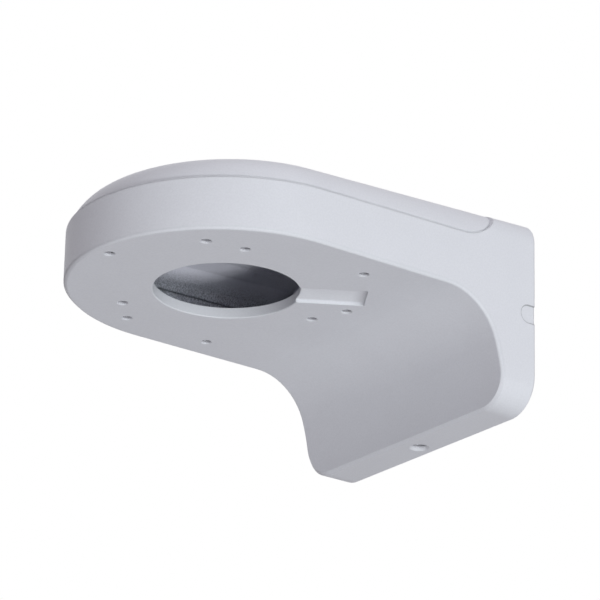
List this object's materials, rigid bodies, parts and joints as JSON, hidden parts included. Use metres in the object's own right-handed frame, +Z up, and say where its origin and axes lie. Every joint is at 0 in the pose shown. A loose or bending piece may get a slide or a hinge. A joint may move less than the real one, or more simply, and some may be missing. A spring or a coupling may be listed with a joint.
{
  "type": "camera wall bracket",
  "caption": "Hollow die-cast wall arm with a rounded free end, a screwed-on lid and an open back that hangs on a steel wall plate; a small dome camera is screwed under it.",
  "frame": {"origin": "middle of the four wall screw slots, on the wall face of the wall plate", "axes": "+Z up, +Y into the wall, the arm reaches out along -Y, +X is the side with the cable knock-out"},
  "size_m": [0.122, 0.16, 0.0794],
  "materials": {
    "body_paint": "fine-textured white paint on an aluminium casting",
    "cover_paint": "fine-textured white paint on an aluminium casting",
    "plate_steel": "zinc-plated sheet steel",
    "screw_steel": "stainless steel"
  },
  "bodies": {
    "root": {"body": "body_paint", "top_cover": "cover_paint", "wall_plate": "plate_steel", "lock_screw": "screw_steel", "cover_screws": "screw_steel"}
  },
  "joints": []
}
